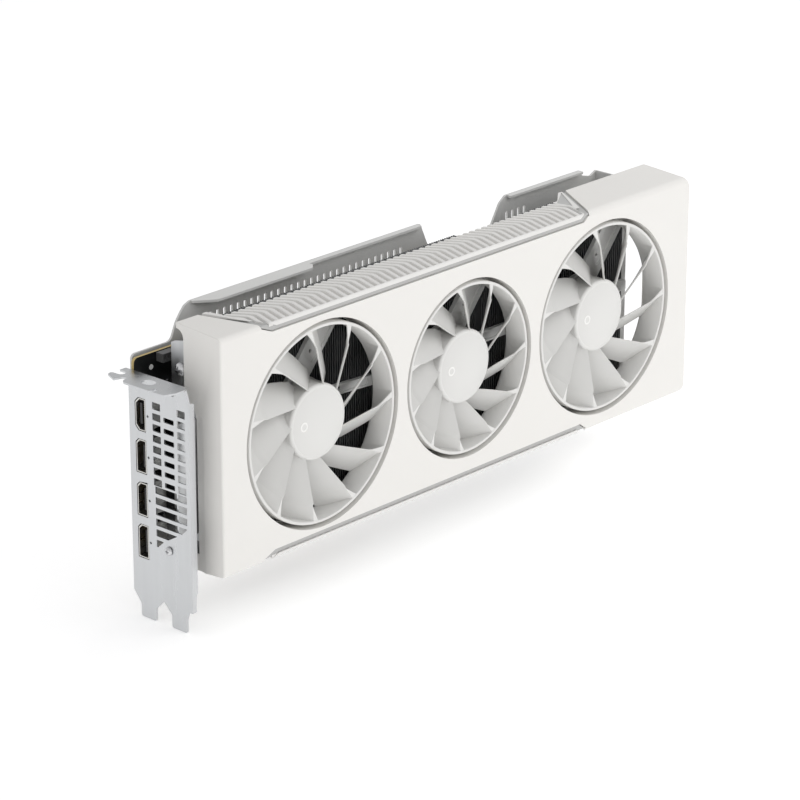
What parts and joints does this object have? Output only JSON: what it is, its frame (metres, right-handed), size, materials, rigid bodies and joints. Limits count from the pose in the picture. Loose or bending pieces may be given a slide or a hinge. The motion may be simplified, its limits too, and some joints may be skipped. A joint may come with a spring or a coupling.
{
  "type": "graphics card",
  "caption": "White dual-slot-bracket graphics card with ducted axial fans, finned cooler, backplate and slot bracket; the fans spin.",
  "frame": {"origin": "middle of the lower face of the card edge's long contact tongue", "axes": "+X along the card from the slot bracket to the far end, +Y from the fans towards the backplate, +Z from the card edge to the top edge"},
  "size_m": [0.3609, 0.0518, 0.1442],
  "materials": {
    "white_plastic": "fine satin texture, warm white",
    "grey_plastic": "satin light grey",
    "fan_plastic": "satin pearl white",
    "winding_steel": "laminated steel with windings",
    "dark_fins": "dark nickel-plated fins",
    "white_sheet": "satin white paint outside, grey inside",
    "nickel_steel": "bright nickel plate",
    "nickel_pipe": "nickel-plated tube",
    "copper": "machined copper",
    "board": "black solder mask on glass-fibre laminate",
    "black_plastic": "moulded nylon",
    "chip_package": "moulded epoxy",
    "silicon": "polished silicon",
    "ferrite": "pressed ferrite"
  },
  "bodies": {
    "card": {"fan_shroud": "white_plastic", "top_trim": "grey_plastic", "bottom_trim": "grey_plastic", "fan_1_mount": "grey_plastic", "fan_2_mount": "grey_plastic", "fan_3_mount": "grey_plastic", "fin_end_plate": "grey_plastic", "fan_header": "grey_plastic", "fan_1_stator": "winding_steel", "fan_2_stator": "winding_steel", "fan_3_stator": "winding_steel", "fin_stack_main": "dark_fins", "fin_stack_far": "dark_fins", "backplate": "white_sheet", "io_bracket": "nickel_steel", "hdmi_shell": "nickel_steel", "displayport_1_shell": "nickel_steel", "displayport_2_shell": "nickel_steel", "displayport_3_shell": "nickel_steel", "bracket_support": "nickel_steel", "bracket_screw": "nickel_steel", "support_screw": "nickel_steel", "cooler_screw_1": "nickel_steel", "cooler_screw_2": "nickel_steel", "cooler_screw_3": "nickel_steel", "cooler_screw_4": "nickel_steel", "backplate_screw_1": "nickel_steel", "backplate_screw_2": "nickel_steel", "backplate_screw_3": "nickel_steel", "backplate_screw_4": "nickel_steel", "heat_pipe_1": "nickel_pipe", "heat_pipe_2": "nickel_pipe", "heat_pipe_3": "nickel_pipe", "heat_pipe_4": "nickel_pipe", "cold_plate": "copper", "circuit_board": "board", "fan_1_lead": "black_plastic", "fan_2_lead": "black_plastic", "fan_3_lead": "black_plastic", "hdmi_insulator": "black_plastic", "displayport_1_insulator": "black_plastic", "displayport_2_insulator": "black_plastic", "displayport_3_insulator": "black_plastic", "power_connector_1": "black_plastic", "power_connector_2": "black_plastic", "gpu_substrate": "chip_package", "memory_chip_1": "chip_package", "memory_chip_2": "chip_package", "memory_chip_3": "chip_package", "memory_chip_4": "chip_package", "memory_chip_5": "chip_package", "memory_chip_6": "chip_package", "gpu_die": "silicon", "power_choke_1": "ferrite", "power_choke_2": "ferrite", "power_choke_3": "ferrite", "power_choke_4": "ferrite"},
    "fan_1": {"fan_1_rotor": "fan_plastic"},
    "fan_2": {"fan_2_rotor": "fan_plastic"},
    "fan_3": {"fan_3_rotor": "fan_plastic"}
  },
  "joints": [
    {"name": "fan_1_spin", "type": "hinge", "parent": "card", "child": "fan_1", "pos_m": [-0.02287, -0.03832, 0.0675], "axis": [0, -1, 0], "continuous": true},
    {"name": "fan_2_spin", "type": "hinge", "parent": "card", "child": "fan_2", "pos_m": [0.07892, -0.03832, 0.0675], "axis": [0, -1, 0], "continuous": true},
    {"name": "fan_3_spin", "type": "hinge", "parent": "card", "child": "fan_3", "pos_m": [0.18072, -0.03832, 0.0675], "axis": [0, -1, 0], "continuous": true}
  ]
}
